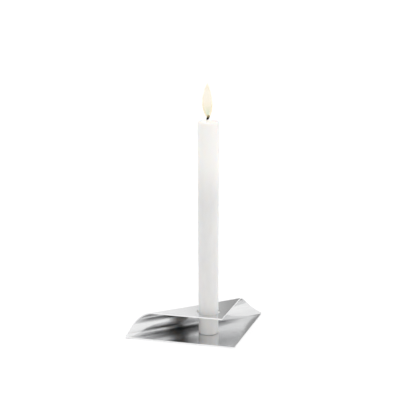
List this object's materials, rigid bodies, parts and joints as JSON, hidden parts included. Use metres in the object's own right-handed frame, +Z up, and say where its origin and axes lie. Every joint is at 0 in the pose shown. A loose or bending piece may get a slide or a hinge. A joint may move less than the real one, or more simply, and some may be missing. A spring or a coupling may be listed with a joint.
{
  "type": "candlestick",
  "caption": "Low candle holder rolled from a square of polished steel sheet, with a lit plain dinner candle standing through the round hole in its upper flap.",
  "frame": {"origin": "on the table, under the centre of the hole that the candle stands in", "axes": "+Z up along the candle; X along the roll; -Y towards the front corner of the base"},
  "size_m": [0.176, 0.0956, 0.2826],
  "materials": {
    "polished_steel": "polished",
    "wax": "satin",
    "wick_cotton": "matte",
    "flame": "matte"
  },
  "bodies": {
    "holder": {"holder_sheet": "polished_steel"},
    "candle": {"candle_wax": "wax", "wick": "wick_cotton", "flame": "flame"}
  },
  "joints": [
    {"name": "candle_lift", "type": "slide", "parent": "holder", "child": "candle", "axis": [0, 0, 1], "range_m": [0, 0.03]}
  ]
}
